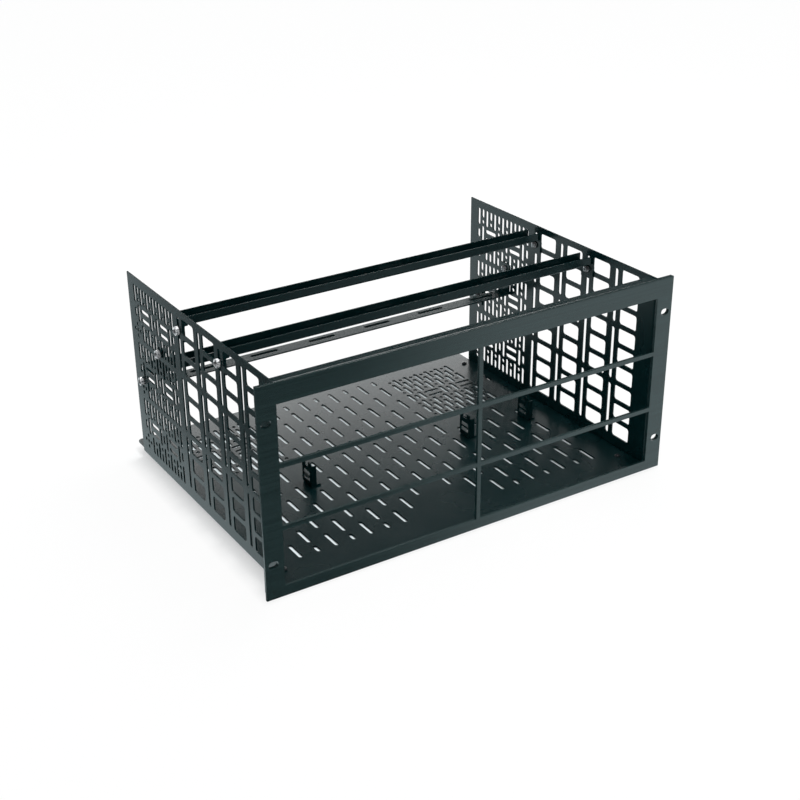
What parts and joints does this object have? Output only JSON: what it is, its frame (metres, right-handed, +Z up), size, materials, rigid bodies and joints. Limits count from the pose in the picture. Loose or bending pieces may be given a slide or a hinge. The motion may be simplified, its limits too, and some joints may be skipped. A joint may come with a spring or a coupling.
{
  "type": "rack mount shelf",
  "caption": "Rack shelf with a windowed front panel, perforated side panels, a slotted tray, hold-down bars across the bay and stop brackets that keep equipment in place.",
  "frame": {"origin": "middle of the bounding box at the front panel's bottom edge", "axes": "+X across the shelf to the right seen from the front, +Y from front to rear, +Z up"},
  "size_m": [0.4826, 0.3556, 0.2215],
  "materials": {
    "anodised_panel": "brushed black anodised, brush lines level",
    "powder_coat": "fine satin black powder coat",
    "zinc": "bright zinc plate",
    "black_screws": "black oxide"
  },
  "bodies": {
    "root": {"front_panel": "anodised_panel", "top_cross_member": "powder_coat", "floor_tray": "powder_coat", "left_side_panel": "powder_coat", "right_side_panel": "powder_coat", "front_hold_down_bar": "powder_coat", "rear_hold_down_bar": "powder_coat", "lower_hold_down_bar": "powder_coat", "support_strap": "powder_coat", "left_stop_bracket": "powder_coat", "centre_stop_bracket": "powder_coat", "right_stop_bracket": "powder_coat", "bar_screws": "zinc", "bar_lock_washers": "zinc", "bar_nuts": "zinc", "bracket_screws": "black_screws", "bracket_washers": "black_screws", "bracket_nuts": "zinc", "floor_screws": "black_screws", "floor_nuts": "zinc", "panel_nuts": "zinc"}
  },
  "joints": []
}
